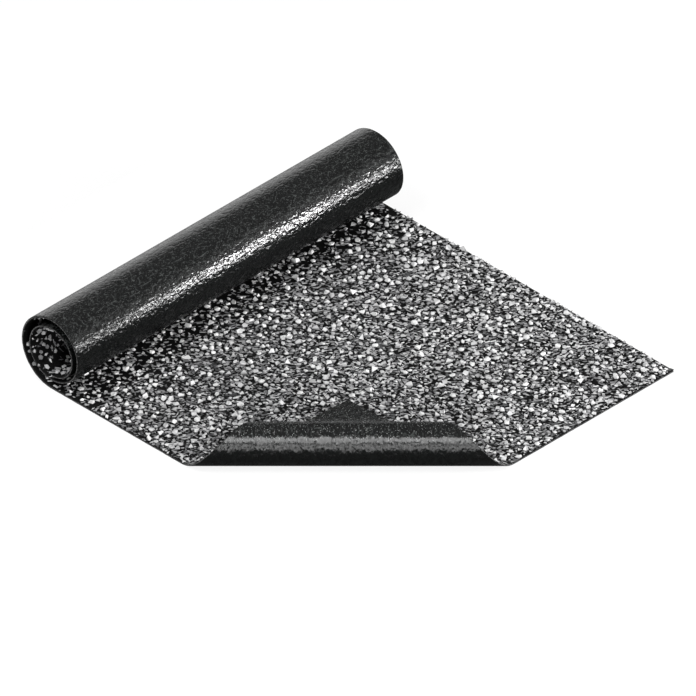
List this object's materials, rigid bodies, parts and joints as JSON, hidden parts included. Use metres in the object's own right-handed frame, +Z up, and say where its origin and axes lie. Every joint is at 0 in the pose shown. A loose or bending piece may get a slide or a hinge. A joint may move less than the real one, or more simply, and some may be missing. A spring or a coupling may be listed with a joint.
{
  "type": "roll of roofing felt, partly unrolled",
  "caption": "Partly unrolled roofing felt: grey mineral chips on top, glossy black crinkled underside, a loose roll at the back and a front corner turned back.",
  "frame": {"origin": "centre of the bounding box on the floor that the felt lies on", "axes": "+X along the roll's axis, +Y from the front edge towards the roll, +Z up from the floor"},
  "size_m": [1.0004, 1.0023, 0.184],
  "materials": {
    "felt": "satin"
  },
  "bodies": {
    "root": {"roofing_felt": "felt"}
  },
  "joints": []
}
